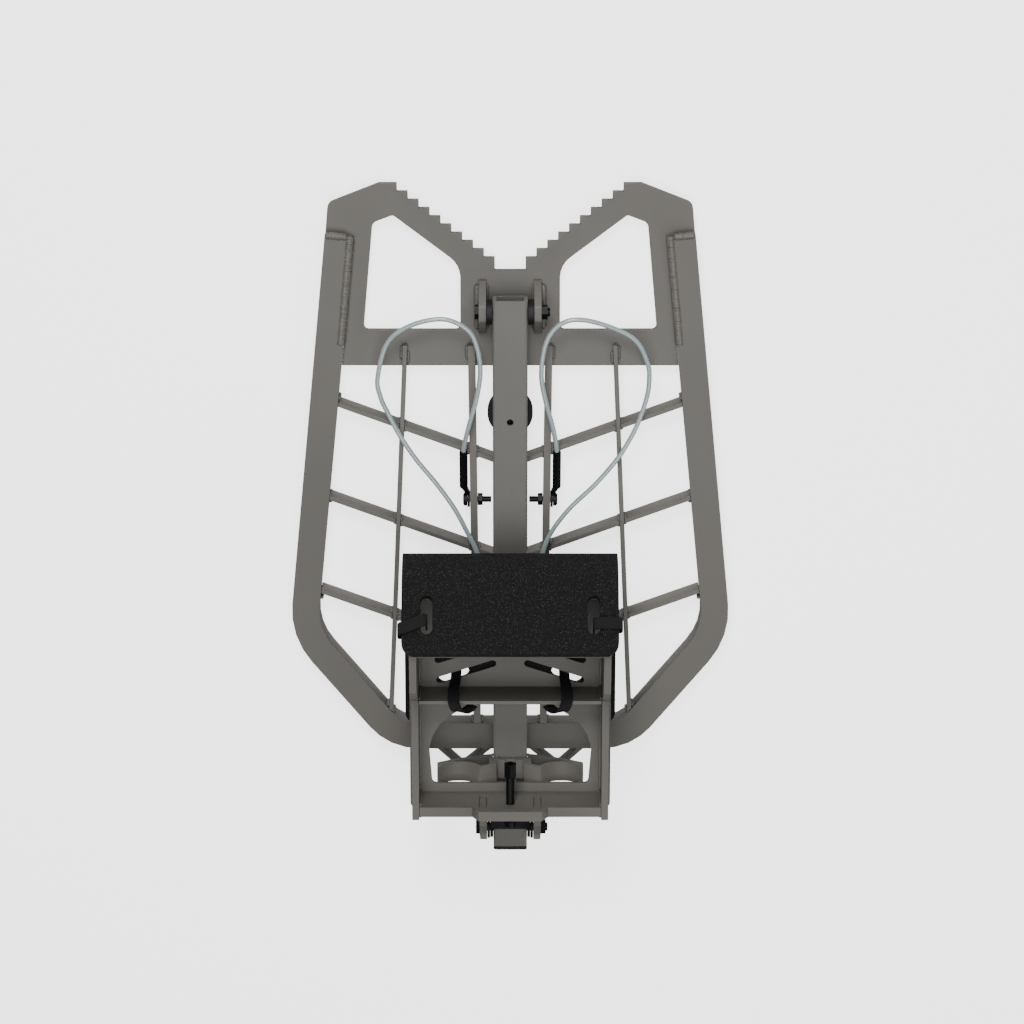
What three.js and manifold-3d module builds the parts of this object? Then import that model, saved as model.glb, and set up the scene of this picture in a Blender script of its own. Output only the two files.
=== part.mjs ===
// A hang-on tree stand folded flat for carrying: a standing platform, a support post hinged to the
// platform's tree end, and a seat hinged to the post's upper end.
// Millimetres, +Z up. The platform's frame lies on Z = 0 and the toothed tree end points to +Y. The
// stand is symmetrical about X = 0, except for its bolts' heads and the way its slack cables lie.
import * as THREE from "three";
import { mergeVertices } from "three/addons/utils/BufferGeometryUtils.js";
import Module from "manifold-3d";

const wasm = await Module();
wasm.setup();

// ---------------------------------------------------------------- driving dimensions
const GAP = 0.3; // clearance between touching pieces
const ARC_STEP = 0.24; // largest turn between two points of a rounded corner, in radians

// platform frame: one flattened tube bent into a bow
const TUBE_WIDTH = 30.8;
const TUBE_DEPTH = 25.4;
const TUBE_WALL = 2;
const DRAIN_RADIUS = 3; // holes in the tube's underside
const BEAM_END = [-185.8, 325.9]; // middle of the left beam's upper end
const SIDE_BEND = [-232, -130.5, 80]; // corner of the centreline and its bend radius
const FRONT_BEND = [-130, -255.7, 56];

// toothed plate that bites the tree
const PLATE_THICK = 6.35;
const PLATE_TOP = 15.4;
const TOOTH_COUNT = 9;
const TOOTH_DROP = 9.2;
const TOOTH_RUN = 11.76;

// ribs and bars of the standing surface
const BAR_DEPTH = 25.4;
const RIB_THICK = 5;
const RIB_SLOPE = 0.374;
const RIB_APEXES = { upper: 66, middle: -46.4, lower: -160.4 };
const OUTER_BAR = { thick: 5, top: [-115, 204.1], foot: [-135.3, -240] };
const INNER_BAR = { thick: 8, top: [-42.4, 204.1], foot: [-37.3, -250] };

// hinge between platform and post
const HINGE_Y = 246.6;
const HINGE_Z = 39.4;
const EAR_NEAR = 26.2; // inner face of every hinge ear, from the middle
const EAR_THICK = 8;
const BOLT_RADIUS = 4.76; // 3/8 in bolts
const BUSHING_RADIUS = 14;

// post
const POST_WIDTH = 38.1;
const POST_DEPTH = 25.4;
const POST_WALL = 4;
const POST_FOOT = 15; // beyond the hinge axis
const POST_HEAD = -626.8;
const CAP_THICK = 4.2;
const BUMPER_Y = -119.5;
const BUMPER_RADIUS = 25;
const BRACKET_Y = [-539.2, -517];
const ANCHOR_Y = -418.6;

// stay cables
const CABLE_RADIUS = 2.65;
const CABLE_BOLT = [23.6, 13.4]; // Y and Z of its axis on the platform
const CABLE_BOLT_RADIUS = 3.2;
const TERMINAL_LENGTH = 64;
const TERMINAL_RADIUS = 4.6;
const TERMINAL_TILT = 17; // degrees

// seat, measured from its pivot axis: y along the seat, z up
const PIVOT_Y = -607.8; // from the platform hinge, along the post
const SEAT_HALF = 112;
const SHEET = 4;
const PAN_Z = 44.7; // outer face of the seat pan
const PAN_REAR = 44.9;
const ROLL_Y = 299.6; // centre of the rolled front edge
const ROLL_INNER = 43.5;
const ROLL_TURN = 146; // degrees
const APRON_LENGTH = 66;
const PAD_HALF = 116.8;
const PAD_THICK = 11.7;
const PAD_REAR = 143.8;
const SIDE_NEAR = 100.9; // inner face of the side plates
const SIDE_THICK = 8;
const SIDE_TOP = 94.7;
const REAR_PLATE = [52.8, 64.1];
const CROSS_RIB = [186.2, 190.4];
const LEVELLER_Z = 82.7;
const LEVELLER_RADIUS = 4.5;
const STRAP_WIDTH = 14;
const STRAP_THICK = 2;

// ---------------------------------------------------------------- materials
const finish = (color, roughness, metalness) => new THREE.MeshStandardMaterial({ color, roughness, metalness });
const MATERIALS = {
  paint: () => finish(0x75726d, 0.55, 0.25),
  postPaint: () => finish(0x7a7a76, 0.55, 0.25),
  black: () => finish(0x17181a, 0.45, 0.6),
  rubber: () => finish(0x151515, 0.85, 0),
  plastic: () => finish(0x1a1a1b, 0.55, 0),
  cable: () => finish(0x9aa7a9, 0.4, 0.4),
  foam: () => finish(0x232323, 0.95, 0),
  webbing: () => finish(0x101112, 0.9, 0),
};

// ---------------------------------------------------------------- outlines
const point = (x, y) => new THREE.Vector2(x, y);
const radians = (degrees) => THREE.MathUtils.degToRad(degrees);

// Points along an arc about (x, y), angles in degrees from the first axis.
function arc(x, y, radius, from, to) {
  const steps = Math.max(2, Math.ceil(Math.abs(radians(to - from)) / ARC_STEP));
  return Array.from({ length: steps + 1 }, (_, i) => {
    const angle = radians(from + ((to - from) * i) / steps);
    return point(x + radius * Math.cos(angle), y + radius * Math.sin(angle));
  });
}

// Corners given as [x, y, radius] with each rounded to its radius.
function rounded(corners, closed = true) {
  const count = corners.length;
  return corners.flatMap(([x, y, radius = 0], i) => {
    const here = point(x, y);
    if (!radius || (!closed && (i === 0 || i === count - 1))) return [here];
    const before = corners[(i + count - 1) % count];
    const after = corners[(i + 1) % count];
    const back = point(before[0] - x, before[1] - y).normalize();
    const ahead = point(after[0] - x, after[1] - y).normalize();
    const half = Math.acos(back.dot(ahead)) / 2;
    const middle = back.clone().add(ahead).normalize().multiplyScalar(radius / Math.sin(half)).add(here);
    const start = back.clone().multiplyScalar(radius / Math.tan(half)).add(here).sub(middle);
    const end = ahead.clone().multiplyScalar(radius / Math.tan(half)).add(here).sub(middle);
    const turn = THREE.MathUtils.euclideanModulo(end.angle() - start.angle() + Math.PI, 2 * Math.PI) - Math.PI;
    const steps = Math.max(1, Math.ceil(Math.abs(turn) / ARC_STEP));
    return Array.from({ length: steps + 1 }, (_, k) =>
      start.clone().rotateAround(point(0, 0), (turn * k) / steps).add(middle),
    );
  });
}

// The outline of a strip of the given width that follows an open path.
function band(path, width) {
  const edge = (sign) =>
    path.map((here, i) => {
      const back = (path[i - 1] ? here.clone().sub(path[i - 1]) : path[i + 1].clone().sub(here)).normalize();
      const ahead = path[i + 1] ? path[i + 1].clone().sub(here).normalize() : back;
      const normal = point(-back.y - ahead.y, back.x + ahead.x).normalize();
      const stretch = width / 2 / normal.dot(point(-ahead.y, ahead.x));
      return normal.multiplyScalar(sign * stretch).add(here);
    });
  return [...edge(-1), ...edge(1).reverse()];
}

const mirrored = (corners) => corners.map(([x, y, radius]) => [-x, y, radius]).reverse();
const symmetric = (left) => [...left, ...mirrored(left)];

// ---------------------------------------------------------------- solids
function solid(geometry) {
  const loose = geometry.index ? geometry.toNonIndexed() : geometry.clone();
  loose.deleteAttribute("normal");
  loose.deleteAttribute("uv");
  const merged = mergeVertices(loose, 1e-4);
  const vertProperties = merged.attributes.position.array;
  const triVerts = new Uint32Array(merged.index.array);
  return new wasm.Manifold(new wasm.Mesh({ numProp: 3, vertProperties, triVerts }));
}

function geometryOf(piece) {
  const mesh = piece.getMesh();
  const geometry = new THREE.BufferGeometry();
  geometry.setAttribute("position", new THREE.BufferAttribute(mesh.vertProperties, 3));
  geometry.setIndex(new THREE.BufferAttribute(mesh.triVerts, 1));
  geometry.computeVertexNormals();
  return geometry;
}

function extruded(points, depth) {
  return new THREE.ExtrudeGeometry(new THREE.Shape(points), { depth, bevelEnabled: false });
}

// An outline in (x, y) raised from one height to another.
const raised = (points, low, high) => solid(extruded(points, high - low).translate(0, 0, low));

// An outline in (y, z) run along X.
function alongX(points, low, high) {
  const turn = new THREE.Matrix4().set(0, 0, 1, 0, 1, 0, 0, 0, 0, 1, 0, 0, 0, 0, 0, 1);
  return solid(extruded(points, high - low).translate(0, 0, low).applyMatrix4(turn));
}

// An outline in (x, z) run along Y.
function alongY(points, low, high) {
  return solid(extruded(points, high - low).translate(0, 0, -high).rotateX(Math.PI / 2));
}

function box(x, y, z) {
  const size = [x[1] - x[0], y[1] - y[0], z[1] - z[0]];
  const middle = [(x[0] + x[1]) / 2, (y[0] + y[1]) / 2, (z[0] + z[1]) / 2];
  return solid(new THREE.BoxGeometry(...size).translate(...middle));
}

function rod(axis, radius, from, to, at = [0, 0], sides = 24, topRadius = radius) {
  const geometry = new THREE.CylinderGeometry(topRadius, radius, to - from, sides).translate(0, (from + to) / 2, 0);
  if (axis === "x") geometry.rotateZ(-Math.PI / 2).translate(0, at[0], at[1]);
  if (axis === "y") geometry.translate(at[0], 0, at[1]);
  if (axis === "z") geometry.rotateX(Math.PI / 2).translate(at[0], at[1], 0);
  return solid(geometry);
}

const hexRadius = (acrossFlats) => acrossFlats / Math.sqrt(3);
const hex = (axis, acrossFlats, from, to, at) => rod(axis, hexRadius(acrossFlats), from, to, at, 6);

// A slot with round ends between two points, as an outline.
function slot([x0, y0], [x1, y1], width) {
  const angle = THREE.MathUtils.radToDeg(Math.atan2(y1 - y0, x1 - x0));
  return [...arc(x1, y1, width / 2, angle - 90, angle + 90), ...arc(x0, y0, width / 2, angle + 90, angle + 270)];
}

// What is cut away to round one vertical corner of a sheet. (x, y) is the corner, and the signs point into the sheet.
function cornerCut(x, y, signX, signY, radius, low, high) {
  const inside = arc(radius, radius, radius, 270, 180).map((p) => point(x + signX * p.x, y + signY * p.y));
  return raised([point(x - signX, y - signY), point(x + signX * radius, y - signY), ...inside, point(x - signX, y + signY * radius)], low, high);
}

const root = new THREE.Group();
root.name = "hang_on_tree_stand";
const platform = new THREE.Group();
const post = new THREE.Group();
const seat = new THREE.Group();
post.position.set(0, HINGE_Y, HINGE_Z);
seat.position.set(0, PIVOT_Y, 0);
root.add(platform);
platform.add(post);
post.add(seat);

function add(group, name, piece, material) {
  const geometry = piece.isBufferGeometry ? piece : geometryOf(piece);
  const mesh = new THREE.Mesh(geometry, MATERIALS[material]());
  mesh.name = name;
  group.add(mesh);
  return mesh;
}

// The same piece on both sides of the middle, drawn for the left.
function addPair(group, name, piece, material) {
  add(group, `${name}_left`, piece, material);
  add(group, `${name}_right`, piece, material).scale.x = -1;
}

// ---------------------------------------------------------------- platform frame
const beamPath = (stretch) => {
  const slope = (BEAM_END[0] - SIDE_BEND[0]) / (BEAM_END[1] - SIDE_BEND[1]);
  const end = [BEAM_END[0] + slope * stretch, BEAM_END[1] + stretch];
  return rounded(symmetric([end, SIDE_BEND, FRONT_BEND]), false);
};
const frameSolid = (width, low, high, stretch = 0) => raised(band(beamPath(stretch), width), low, high);
const frameRoom = frameSolid(TUBE_WIDTH + 2 * GAP, -5, TUBE_DEPTH + 5, GAP);
const frameHollow = frameSolid(TUBE_WIDTH - 2 * TUBE_WALL, TUBE_WALL, TUBE_DEPTH - TUBE_WALL, -TUBE_WALL);
const drains = [-1, 1].map((side) => rod("z", DRAIN_RADIUS, -1, TUBE_WALL + 1, [side * 224, -60]));
const bow = drains.reduce((piece, drain) => piece.subtract(drain), frameSolid(TUBE_WIDTH, 0, TUBE_DEPTH).subtract(frameHollow));
add(platform, "frame_bow", bow, "paint");

// toothed plate between the beams, with ears that close the beams' ends
const teeth = Array.from({ length: TOOTH_COUNT + 1 }, (_, i) => {
  const x = -122.6 + i * TOOTH_RUN;
  const y = 384.4 - i * TOOTH_DROP;
  return i < TOOTH_COUNT ? [[x, y], [x, y - TOOTH_DROP]] : [[x, y], [x, 287.3]];
}).flat();
const plateLeft = [[-190, 178.8], [-190, 322], [-201.2, 322], [-197.7, 362.2, 10], [-142, 384.4, 3], ...teeth];
const plateOutline = rounded([...plateLeft, ...mirrored(plateLeft)]);
const windowLeft = [[-160.4, 219.9, 5], [-54.5, 219.9, 5], [-54.4, 292.6, 28], [-127.2, 348.5, 4], [-149.4, 340, 8]];
const plateWindow = raised(rounded(windowLeft), -5, 40);
const plate = raised(plateOutline, PLATE_TOP - PLATE_THICK, PLATE_TOP)
  .subtract(plateWindow)
  .subtract(raised(rounded(mirrored(windowLeft)), -5, 40))
  .subtract(frameRoom);
add(platform, "v_plate", plate, "paint");

// ribs and bars cross in half-lap joints: ribs are notched from above, bars from below
const ribPath = (apex) => [point(-230, apex + 230 * RIB_SLOPE), point(0, apex), point(230, apex + 230 * RIB_SLOPE)];
const barPath = ({ top, foot }, side = 1) => [point(side * top[0], top[1]), point(side * foot[0], foot[1])];
const HALF = BAR_DEPTH / 2;
const bars = [OUTER_BAR, INNER_BAR];
for (const [place, apex] of Object.entries(RIB_APEXES)) {
  let rib = raised(band(ribPath(apex), RIB_THICK), 0, BAR_DEPTH).subtract(frameRoom);
  for (const bar of bars)
    for (const side of [1, -1])
      rib = rib.subtract(raised(band(barPath(bar, side), bar.thick + 2 * GAP), HALF - GAP / 2, BAR_DEPTH + 1));
  const kept = rib.decompose().sort((a, b) => b.volume() - a.volume())[0];
  add(platform, `rib_${place}`, kept, "paint");
}
const plateRoom = box([-250, 250], [178.8 - GAP, 400], [-5, PLATE_TOP + GAP]);
const barSolid = (bar) => {
  let piece = raised(band(barPath(bar), bar.thick), 0, BAR_DEPTH).subtract(frameRoom).subtract(plateRoom);
  for (const apex of Object.values(RIB_APEXES))
    piece = piece.subtract(raised(band(ribPath(apex), RIB_THICK + 2 * GAP), -1, HALF + GAP / 2));
  return piece.decompose().sort((a, b) => b.volume() - a.volume())[0];
};
addPair(platform, "outer_bar", barSolid(OUTER_BAR), "paint");
const cableHole = rod("x", CABLE_BOLT_RADIUS + GAP, -60, -20, CABLE_BOLT);
addPair(platform, "inner_bar", barSolid(INNER_BAR).subtract(cableHole), "paint");

// small V of bar at the front of the frame
const frontPath = [point(-86, -265.6), point(-53.7, -296), point(-16, -264.2)];
const frontBar = raised(band(frontPath, 5), 3, 23).subtract(frameRoom);
addPair(platform, "front_bar", frontBar, "paint");

// ---------------------------------------------------------------- platform hinge
const earFoot = PLATE_TOP + GAP;
const hingeEar = alongX(
  rounded([[216.6, earFoot], [276.6, earFoot], [276.6, earFoot + 4, 2], [255.1, 49.4, 5], [238.1, 49.4, 5], [216.6, earFoot + 4, 2]]),
  -EAR_NEAR - EAR_THICK,
  -EAR_NEAR,
).subtract(rod("x", BOLT_RADIUS + GAP, -60, 60, [HINGE_Y, HINGE_Z]));
addPair(platform, "hinge_ear", hingeEar, "paint");

// A bolt across the stand, head on the left, with its shank's end rounded.
function crossBolt(radius, headFrom, headTo, end, acrossFlats, at) {
  return rod("x", radius, headFrom - 0.5, end - 1, at)
    .add(rod("x", radius, end - 1.01, end, at, 24, radius - 1))
    .add(hex("x", acrossFlats, headTo, headFrom, at));
}
const nut = (radius, from, to, acrossFlats, at) =>
  hex("x", acrossFlats, from, to, at).subtract(rod("x", radius + GAP, from - 1, to + 1, at));
const EAR_FAR = EAR_NEAR + EAR_THICK + GAP;
const hingeAt = [HINGE_Y, HINGE_Z];
add(platform, "hinge_bolt", crossBolt(BOLT_RADIUS, -EAR_FAR, -EAR_FAR - 4, 43.4, 14.3, hingeAt), "black");
add(platform, "hinge_nut", nut(BOLT_RADIUS, EAR_FAR, EAR_FAR + 6.2, 14.3, hingeAt), "black");

// ---------------------------------------------------------------- post
const postProfile = (width, depth, radius) => {
  const [x, z] = [width / 2, depth / 2];
  return rounded([[-x, -z, radius], [x, -z, radius], [x, z, radius], [-x, z, radius]]);
};
const tube = alongY(postProfile(POST_WIDTH, POST_DEPTH, 3), POST_HEAD, POST_FOOT)
  .subtract(alongY(postProfile(POST_WIDTH - 2 * POST_WALL, POST_DEPTH - 2 * POST_WALL, 1), POST_HEAD - 1, POST_FOOT + 1))
  .subtract(rod("x", BOLT_RADIUS + GAP, -60, 60, [0, 0]))
  .subtract(rod("x", BOLT_RADIUS + GAP, -60, 60, [PIVOT_Y, 0]))
  .subtract(rod("x", CABLE_BOLT_RADIUS + GAP, -60, 60, [ANCHOR_Y, 0]))
  .subtract(rod("z", 3.65, 5, 20, [0, BUMPER_Y - 2.3]));
add(post, "post_tube", tube, "postPaint");
const plugWidth = POST_WIDTH - 2 * POST_WALL - 2 * GAP;
const plugDepth = POST_DEPTH - 2 * POST_WALL - 2 * GAP;
const capPlug = alongY(postProfile(plugWidth, plugDepth, 1), POST_HEAD - 1, POST_HEAD + 9);
const cap = alongY(postProfile(POST_WIDTH, POST_DEPTH, 3), POST_HEAD - CAP_THICK, POST_HEAD - GAP).add(capPlug);
add(post, "post_cap", cap, "plastic");
const bushing = rod("x", BUSHING_RADIUS, -EAR_NEAR + GAP, -POST_WIDTH / 2 - GAP, [0, 0], 32)
  .subtract(rod("x", BOLT_RADIUS + GAP, -30, -10, [0, 0]));
addPair(post, "hinge_bushing", bushing, "plastic");
const bumperTop = -POST_DEPTH / 2 - GAP;
const bumper = rod("z", BUMPER_RADIUS, bumperTop - 15.7, bumperTop, [0, BUMPER_Y], 40)
  .add(rod("z", BUMPER_RADIUS - 3, bumperTop - 18.7, bumperTop - 15.6, [0, BUMPER_Y], 40, BUMPER_RADIUS));
add(post, "rubber_bumper", bumper, "rubber");

// wing-shaped bracket that braces the post's upper end against the tree; heights above the post's face
const face = POST_DEPTH / 2;
const wingFront = arc(57.5, face + 42.6, 27, 334.5, 208).map((p) => [p.x, p.y]);
const wingRight = [
  [POST_WIDTH / 2 + GAP, face + GAP], [POST_WIDTH / 2 + GAP, face - 9.4], [23, face - 9.4], [30, face - 7.6],
  [60, face + 3], [82, face + 15, 1.5], ...wingFront, [17.5, face + 21], [15.5, face + 20], [15.5, face + 9],
  [6, face + 9], [6, face + 6],
];
const wingOutline = rounded([...wingRight, ...mirrored(wingRight)]);
const pocket = [
  [24, face - 3.7], [30, face - 2.4], [46, face + 3.2], [57.5, face + 7.2], [66, face + 11.3], [57.5, face + 10.6],
  [45, face + 13.7], [38, face + 18.9], [33, face + 24], [24, face + 19.4],
];
const bracket = alongY(wingOutline, ...BRACKET_Y)
  .subtract(alongY(rounded(pocket), BRACKET_Y[0] - 1, BRACKET_Y[1] + 1))
  .subtract(alongY(rounded(mirrored(pocket)), BRACKET_Y[0] - 1, BRACKET_Y[1] + 1));
add(post, "tree_bracket", bracket, "paint");

// ---------------------------------------------------------------- seat pivot on the post
const armNear = POST_WIDTH / 2 + GAP;
const armFar = 22.7;
const armProfile = rounded([[-579.2, 16.5], [-579.2, -9, 4], [-597, -11.5, 8], [-618.5, -9, 9], [-618.5, 9, 9], [-603.6, 16.5]]);
const saddle = alongX(armProfile, -armFar, -armNear)
  .add(alongX(armProfile, armNear, armFar))
  .add(box([-armFar, armFar], [-603.6, -579.2], [face + GAP, 16.5]))
  .subtract(rod("x", BOLT_RADIUS + GAP, -60, 60, [PIVOT_Y, 0]));
add(post, "pivot_saddle", saddle, "plastic");

// ---------------------------------------------------------------- stay cables
// A swaged end: an eye on the left of a bolt along X, a neck that steps outwards and a barrel along y.
const neck = [[1.25, 0], [1.25, 8], [-2.6, 18], [-2.6, 23], [-8.4, 23], [-8.4, 18], [-1.25, 7], [-1.25, 0]];
const terminal = rod("x", 9, -1.25, 1.25, [0, 0], 28)
  .add(raised(rounded(neck), -4, 4))
  .add(rod("y", TERMINAL_RADIUS, 17, TERMINAL_LENGTH, [-5.5, 0], 16))
  .subtract(rod("x", CABLE_BOLT_RADIUS + GAP, -20, 20, [0, 0]));
function addTerminals(group, name, x, y, z, tilt) {
  for (const [side, sign] of [["left", 1], ["right", -1]]) {
    const mesh = add(group, `${name}_${side}`, terminal, "black");
    mesh.scale.x = sign;
    mesh.rotation.x = radians(tilt);
    mesh.position.set(-sign * x, y, z);
  }
}
addTerminals(platform, "lower_terminal", 46, ...CABLE_BOLT, TERMINAL_TILT);
addTerminals(post, "upper_terminal", 20.6, ANCHOR_Y, 0, 0);

const roundHead = (radius, from, to, at) =>
  rod("x", radius - 2, to, to + 1.6, at, 24, radius).add(rod("x", radius, to + 1.55, from, at));
const cableBolt = rod("x", CABLE_BOLT_RADIUS, -48, -21, CABLE_BOLT).add(roundHead(7.5, -47.6, -52.4, CABLE_BOLT));
addPair(platform, "cable_bolt", cableBolt, "black");
addPair(platform, "cable_nut", nut(CABLE_BOLT_RADIUS, -36, -30.6, 12.2, CABLE_BOLT), "black");
const anchorAt = [ANCHOR_Y, 0];
const anchorBolt = rod("x", CABLE_BOLT_RADIUS, -23, 31, anchorAt).add(roundHead(7.5, -22.2, -27, anchorAt));
add(post, "anchor_bolt", anchorBolt, "black");
add(post, "anchor_nut", nut(CABLE_BOLT_RADIUS, 22.2, 28.7, 12.7, anchorAt), "black");

// Each cable leaves its lower end upwards, bows outwards in a loop and runs back beside the post.
const cableRoutes = {
  left: [
    [-51.5, 85.1, 32.4], [-49.6, 98, 35.8], [-45, 118, 39], [-37, 148, 42], [-32.6, 180, 44], [-36, 208, 45],
    [-46.5, 228, 45], [-73, 240, 45], [-109, 232, 43], [-134, 211, 40], [-145, 171, 37], [-142, 149, 36],
    [-135, 132, 35], [-121, 104, 35], [-103, 76, 35], [-81, 48, 35], [-62, 20, 35], [-48, -7, 36], [-37, -31, 38],
    [-29.5, -62, 39.2], [-26.5, -88, 39.4], [-26.1, -107.6, 39.4],
  ],
  right: [
    [51.5, 85.1, 32.4], [50, 98, 35.8], [46, 118, 39], [38.4, 148, 42], [34, 178, 44], [39, 213, 45],
    [53, 233, 45], [74, 239.5, 45], [105, 232, 43], [136, 215, 40], [150, 188, 38], [152, 167, 37], [149, 146, 36],
    [140, 118, 35], [130, 97, 35], [117, 76, 35], [94, 48, 35], [66, 20, 35], [46, -7, 36], [36, -31, 38],
    [29.3, -62, 39.2], [26.5, -88, 39.4], [26.1, -107.6, 39.4],
  ],
};
const cableRing = Array.from({ length: 8 }, (_, i) => point(CABLE_RADIUS, 0).rotateAround(point(0, 0), (i * Math.PI) / 4));
for (const [side, route] of Object.entries(cableRoutes)) {
  const curve = new THREE.CatmullRomCurve3(route.map((p) => new THREE.Vector3(...p)), false, "centripetal");
  const tubeOptions = { steps: 54, extrudePath: curve, bevelEnabled: false };
  add(platform, `stay_cable_${side}`, solid(new THREE.ExtrudeGeometry(new THREE.Shape(cableRing), tubeOptions)), "cable");
}

// ---------------------------------------------------------------- seat pan and pad
// A sheet that runs flat from the rear, rolls up round the front edge and ends in a straight apron.
function rolledSheet(rear, inner, outer) {
  const z = PAN_Z + ROLL_INNER + SHEET;
  const start = -90;
  const end = start + ROLL_TURN;
  const along = point(Math.cos(radians(end + 90)), Math.sin(radians(end + 90))).multiplyScalar(APRON_LENGTH);
  const outside = arc(ROLL_Y, z, outer, start, end);
  const inside = arc(ROLL_Y, z, inner, end, start);
  return [
    point(rear, z - outer), ...outside, outside.at(-1).clone().add(along), inside[0].clone().add(along), ...inside,
    point(rear, z - inner),
  ];
}
const rollZ = PAN_Z + ROLL_INNER + SHEET;
// The apron's own frame: x across, y towards the roll, z out of its face.
const apronFrame = new THREE.Matrix4().makeRotationX(radians(ROLL_TURN - 180)).setPosition(0, ROLL_Y, rollZ);
const onApron = (piece) => solid(geometryOf(piece).applyMatrix4(apronFrame));
const apronSlot = raised(slot([-90, -7.8], [-90, -37], 12.9), 30, 70);
const apronSlots = [onApron(apronSlot), onApron(apronSlot.mirror([1, 0, 0]))];

const chevronSlots = [
  slot([-78, 198], [-19.4, 217.7], 7.8),
  slot([-80, 222], [-40, 235], 7.8),
].flatMap((outline) => [raised(outline, 30, 60), raised(outline, 30, 60).mirror([1, 0, 0])]);
const archLeft = [
  [-87, 74.3, 5], [-90.4, 116.6], [-86.1, 132.3], [-77.1, 146.7], [-67, 155.1], [-58.1, 161.1], [-44.7, 166.5],
  [-30, 171], [-15, 173.6],
];
const arch = raised(rounded([...archLeft, ...mirrored(archLeft)]), 30, 60);
let pan = alongX(rolledSheet(PAN_REAR, ROLL_INNER, ROLL_INNER + SHEET), -SEAT_HALF, SEAT_HALF).subtract(arch);
for (const cut of [...apronSlots, ...chevronSlots]) pan = pan.subtract(cut);
for (const sign of [1, -1]) {
  pan = pan.subtract(onApron(cornerCut(sign * SEAT_HALF, -APRON_LENGTH, -sign, 1, 8, 38, 55)));
  pan = pan.subtract(cornerCut(sign * SEAT_HALF, PAN_REAR, -sign, 1, 6, 40, 52));
}
add(seat, "seat_pan", pan, "paint");

const padInner = ROLL_INNER + SHEET + GAP;
let pad = alongX(rolledSheet(PAD_REAR, padInner, padInner + PAD_THICK), -PAD_HALF, PAD_HALF);
const padSlot = raised(slot([-72, 199.7], [-54, 206], 17), 25, 60);
for (const cut of [...apronSlots, padSlot, padSlot.mirror([1, 0, 0])]) pad = pad.subtract(cut);
for (const sign of [1, -1]) {
  pad = pad.subtract(onApron(cornerCut(sign * PAD_HALF, -APRON_LENGTH, -sign, 1, 14, 40, 66)));
  pad = pad.subtract(cornerCut(sign * PAD_HALF, PAD_REAR, -sign, 1, 14, 25, 50));
}
const padArch = archLeft.map(([x, y]) => [x * 1.05, y + 4]);
pad = pad.subtract(raised(rounded([...padArch, ...mirrored(padArch)]), 25, 60));
add(seat, "seat_pad", pad, "foam");

// ---------------------------------------------------------------- seat frame
const apronLine = rolledSheet(PAN_REAR, ROLL_INNER - GAP, ROLL_INNER);
const inner = apronLine.slice(apronLine.length / 2).slice(0, -1); // the inner face, from the apron's end back to the flat
const sideProfile = [
  point(48.8, PAN_Z + SHEET + GAP), ...inner.reverse(), point(223.8, 155.7), point(191.6, SIDE_TOP), point(48.8, SIDE_TOP),
];
addPair(seat, "seat_side", alongX(sideProfile, -SIDE_NEAR - SIDE_THICK, -SIDE_NEAR), "paint");
const floor = PAN_Z + SHEET + GAP;
const span = SIDE_NEAR - GAP;
add(seat, "seat_cross_rib", box([-span, span], CROSS_RIB, [floor, 92.7]), "paint");
const rearLeft = [[-span, floor], [-span, SIDE_TOP], [-42, SIDE_TOP], [-35, 106.7]];
const tab = box([-EAR_NEAR - EAR_THICK - GAP, -EAR_NEAR + GAP], [50, 66], [61.4, 93]);
const rearPlate = alongY(rounded([...rearLeft, ...mirrored(rearLeft)]), ...REAR_PLATE)
  .subtract(tab)
  .subtract(tab.mirror([1, 0, 0]))
  .subtract(rod("y", LEVELLER_RADIUS + GAP, 40, 80, [0, LEVELLER_Z]));
add(seat, "seat_rear_plate", rearPlate, "paint");
const earProfile = [
  [63.1, 92.7], [40.6, 92.7], [38.2, 77.6, 3], [22, 74.5, 6], [-8.4, 17.2, 4], [-8.4, -12.2, 7], [11.6, -12.2, 8],
  [42.5, 49, 6], [52, 61.7], [63.1, 61.7],
];
const pivotEar = alongX(rounded(earProfile), -EAR_NEAR - EAR_THICK, -EAR_NEAR).subtract(rod("x", BOLT_RADIUS + GAP, -60, 60, [0, 0]));
addPair(seat, "pivot_ear", pivotEar, "paint");
add(seat, "pivot_bolt", crossBolt(BOLT_RADIUS, -EAR_FAR, -EAR_FAR - 4.6, 42.4, 14.3, [0, 0]), "black");
add(seat, "pivot_nut", nut(BOLT_RADIUS, EAR_FAR, EAR_FAR + 5.8, 14.3, [0, 0]), "black");
const washer = rod("x", 13, -EAR_NEAR + GAP, -armFar - GAP, [0, 0], 32).subtract(rod("x", BOLT_RADIUS + GAP, -30, -20, [0, 0]));
addPair(seat, "pivot_washer", washer, "plastic");

// ---------------------------------------------------------------- levelling bolt
const levelAt = [0, LEVELLER_Z];
const levelNut = hex("y", 14.3, 46, REAR_PLATE[0] - GAP, levelAt).subtract(rod("y", LEVELLER_RADIUS + GAP, 40, 60, levelAt));
add(seat, "levelling_nut", levelNut, "black");
const leveller = rod("y", LEVELLER_RADIUS, 40, 100, levelAt)
  .add(rod("y", 6.7, 37.6, 44.1, levelAt))
  .add(hex("y", 12.8, 97.4, 111.8, levelAt))
  .subtract(rod("y", 4, 106, 112, levelAt, 6));
add(seat, "levelling_bolt", leveller, "black");

// ---------------------------------------------------------------- straps
// A tie that comes out of the apron's slot, lies on the pad and turns round its side.
const sideTie = rounded([[-90, 37.5], [-89.5, 62.7, 5], [-104, 62.3, 20], [-119.6, 61.7, 4], [-120.2, 42.5, 4], [-113.6, 39.1]], false);
addPair(seat, "side_strap", onApron(alongY(band(sideTie, STRAP_THICK), -25 - STRAP_WIDTH, -25)), "webbing");

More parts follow.
